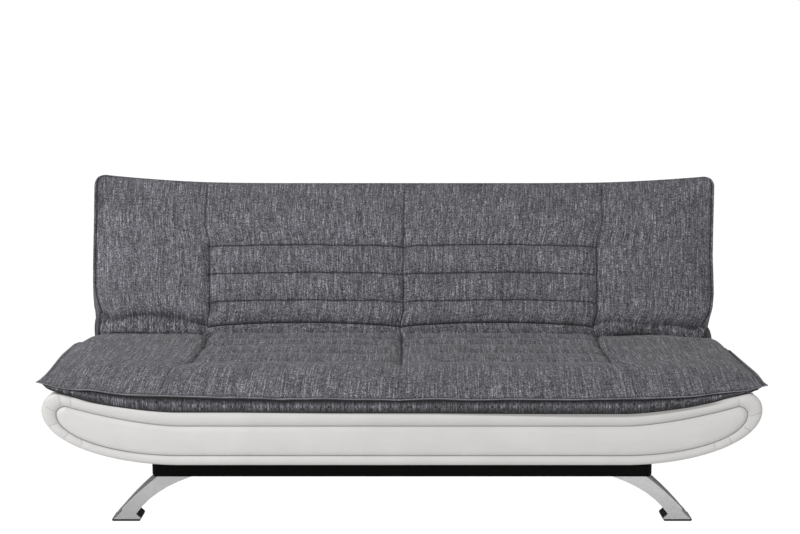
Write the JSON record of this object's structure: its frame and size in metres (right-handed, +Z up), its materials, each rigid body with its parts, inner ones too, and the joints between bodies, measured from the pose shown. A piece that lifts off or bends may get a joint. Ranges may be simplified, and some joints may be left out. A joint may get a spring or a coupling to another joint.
{
  "type": "click clack sofa bed",
  "caption": "Armless click clack sofa bed: quilted grey fabric mattress on a boat-shaped white faux leather shell, backrest that folds down flat, black steel base, splayed metal legs.",
  "frame": {"origin": "on the floor, under the middle of the whole sofa with the back up", "axes": "+X along the length, to the right seen from the front; -Y towards the front; +Z up"},
  "size_m": [1.96, 0.936, 0.9173],
  "materials": {
    "grey_fabric": "matte",
    "white_leather": "satin",
    "seat_foam": "matte",
    "plywood": "matte",
    "black_board": "matte",
    "black_steel": "satin",
    "leg_metal": "satin",
    "zinc_steel": "satin",
    "black_plastic": "matte"
  },
  "bodies": {
    "base": {"base_center_rail": "black_steel", "base_front_rail": "black_steel", "base_rear_rail": "black_steel", "base_side_rail_left": "black_steel", "base_side_rail_right": "black_steel", "foot_front_left": "black_plastic", "foot_front_right": "black_plastic", "foot_rear_left": "black_plastic", "foot_rear_right": "black_plastic", "hinge_pawl_pin_left": "zinc_steel", "hinge_pawl_pin_right": "zinc_steel", "hinge_pawl_spring_left": "zinc_steel", "hinge_pawl_spring_right": "zinc_steel", "hinge_pivot_pin_left": "zinc_steel", "hinge_pivot_pin_right": "zinc_steel", "hinge_seat_arm_left": "zinc_steel", "hinge_seat_arm_right": "zinc_steel", "leg_bolt_front_left": "zinc_steel", "leg_bolt_front_right": "zinc_steel", "leg_bolt_rear_left": "zinc_steel", "leg_bolt_rear_right": "zinc_steel", "leg_front_left": "leg_metal", "leg_front_right": "leg_metal", "leg_rear_left": "leg_metal", "leg_rear_right": "leg_metal", "rail_cap_front_left": "black_plastic", "rail_cap_front_right": "black_plastic", "rail_cap_rear_left": "black_plastic", "rail_cap_rear_right": "black_plastic", "seat_bottom_board": "black_board", "seat_deck": "seat_foam", "seat_end_left": "white_leather", "seat_end_right": "white_leather", "seat_front_board": "plywood", "seat_front_panel": "white_leather", "seat_mattress": "grey_fabric", "seat_platform": "plywood", "seat_rear_board": "plywood", "seat_rear_panel": "white_leather", "seat_rib_left": "plywood", "seat_rib_middle": "plywood", "seat_rib_right": "plywood"},
    "backrest": {"back_deck": "seat_foam", "back_end_left": "white_leather", "back_end_right": "white_leather", "back_lower_board": "plywood", "back_lower_panel": "white_leather", "back_mattress": "grey_fabric", "back_platform": "plywood", "back_rear_panel": "white_leather", "back_rib_left": "plywood", "back_rib_middle": "plywood", "back_rib_right": "plywood", "back_top_board": "plywood", "back_top_panel": "white_leather", "hinge_back_arm_left": "zinc_steel", "hinge_back_arm_right": "zinc_steel"},
    "pawl_left": {"hinge_pawl_left": "zinc_steel"},
    "pawl_right": {"hinge_pawl_right": "zinc_steel"}
  },
  "joints": [
    {"name": "back_recline", "type": "hinge", "parent": "base", "child": "backrest", "pos_m": [0, 0.14198, 0.306], "axis": [-1, 0, 0], "range_deg": [-8, 68]},
    {"name": "pawl_left_lift", "type": "hinge", "parent": "base", "child": "pawl_left", "pos_m": [-0.6999, 0.12198, 0.27], "axis": [-1, 0, 0], "range_deg": [0, 10], "stiffness_Nm_per_rad": 0.05, "deforming": ["hinge_pawl_spring_left"]},
    {"name": "pawl_right_lift", "type": "hinge", "parent": "base", "child": "pawl_right", "pos_m": [0.6999, 0.12198, 0.27], "axis": [-1, 0, 0], "range_deg": [0, 10], "stiffness_Nm_per_rad": 0.05, "deforming": ["hinge_pawl_spring_right"]}
  ]
}
